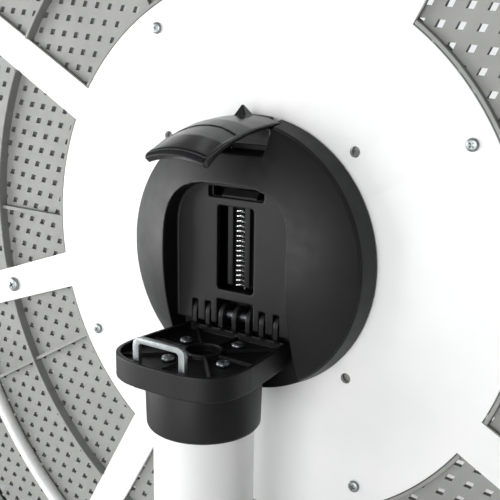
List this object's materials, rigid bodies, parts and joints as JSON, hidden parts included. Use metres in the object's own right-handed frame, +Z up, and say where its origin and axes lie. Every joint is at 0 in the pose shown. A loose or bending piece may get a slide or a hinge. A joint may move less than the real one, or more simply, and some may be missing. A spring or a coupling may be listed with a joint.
{
  "type": "tilt-top garden table",
  "caption": "Round garden table on a column whose perforated moulded top tilts upright on a hinged hub with a thumb-lever latch.",
  "frame": {"origin": "on the floor, on the axis of the column", "axes": "+Z up along the column; the underside of the upright top faces -Y, and X runs along the hinge pin"},
  "size_m": [0.75, 0.4346, 1.119],
  "materials": {
    "grey_plastic": "moulded, fine matt texture",
    "white_paint": "white powder coat, satin",
    "black_plastic": "moulded, fine satin texture",
    "zinc_steel": "zinc plated",
    "glide_rubber": "moulded"
  },
  "bodies": {
    "stand": {"base_flange": "white_paint", "socket_set_screw": "zinc_steel", "column_tube": "white_paint", "column_plug": "black_plastic", "column_collar": "black_plastic", "pole_head": "black_plastic", "striker_loop": "zinc_steel", "base_leg_1": "white_paint", "base_leg_2": "white_paint", "base_leg_3": "white_paint", "base_leg_4": "white_paint", "base_glide_1": "glide_rubber", "base_glide_2": "glide_rubber", "base_glide_3": "glide_rubber", "base_glide_4": "glide_rubber", "base_bolt_1": "zinc_steel", "base_bolt_2": "zinc_steel", "base_bolt_3": "zinc_steel", "base_bolt_4": "zinc_steel", "base_bolt_5": "zinc_steel", "base_bolt_6": "zinc_steel", "base_bolt_7": "zinc_steel", "base_bolt_8": "zinc_steel", "head_screw_1": "zinc_steel", "head_screw_2": "zinc_steel", "head_screw_3": "zinc_steel", "head_screw_4": "zinc_steel"},
    "top": {"table_top": "grey_plastic", "frame_plate": "white_paint", "ring_tube": "white_paint", "hub_housing": "black_plastic", "hinge_pin": "zinc_steel", "lever_pin": "zinc_steel", "latch_spring": "zinc_steel", "plate_screw_1": "zinc_steel", "plate_screw_2": "zinc_steel", "plate_screw_3": "zinc_steel", "plate_screw_4": "zinc_steel", "spoke_screw_1": "zinc_steel", "spoke_screw_2": "zinc_steel", "spoke_screw_3": "zinc_steel", "spoke_screw_4": "zinc_steel", "hub_bolt_1": "zinc_steel", "hub_bolt_2": "zinc_steel", "hub_bolt_3": "zinc_steel", "hub_bolt_4": "zinc_steel"},
    "lever": {"release_lever": "black_plastic"},
    "latch": {"latch_slide": "black_plastic"}
  },
  "joints": [
    {"name": "top_tilt", "type": "hinge", "parent": "stand", "child": "top", "pos_m": [0, 0.0365, 0.706], "axis": [1, 0, 0], "range_deg": [0, 90]},
    {"name": "lever_press", "type": "hinge", "parent": "top", "child": "lever", "pos_m": [0, 0.0465, 0.811], "axis": [1, 0, 0], "range_deg": [0, 18], "stiffness_Nm_per_rad": 0.8, "springref_deg": -14.32},
    {"name": "latch_travel", "type": "slide", "parent": "top", "child": "latch", "axis": [0, 0, 1], "range_m": [-0.0041, 0], "deforming": ["latch_spring"]}
  ],
  "couplings": [
    {"joint": "latch_travel", "follows": "lever_press", "m_per_rad": -0.01305}
  ]
}
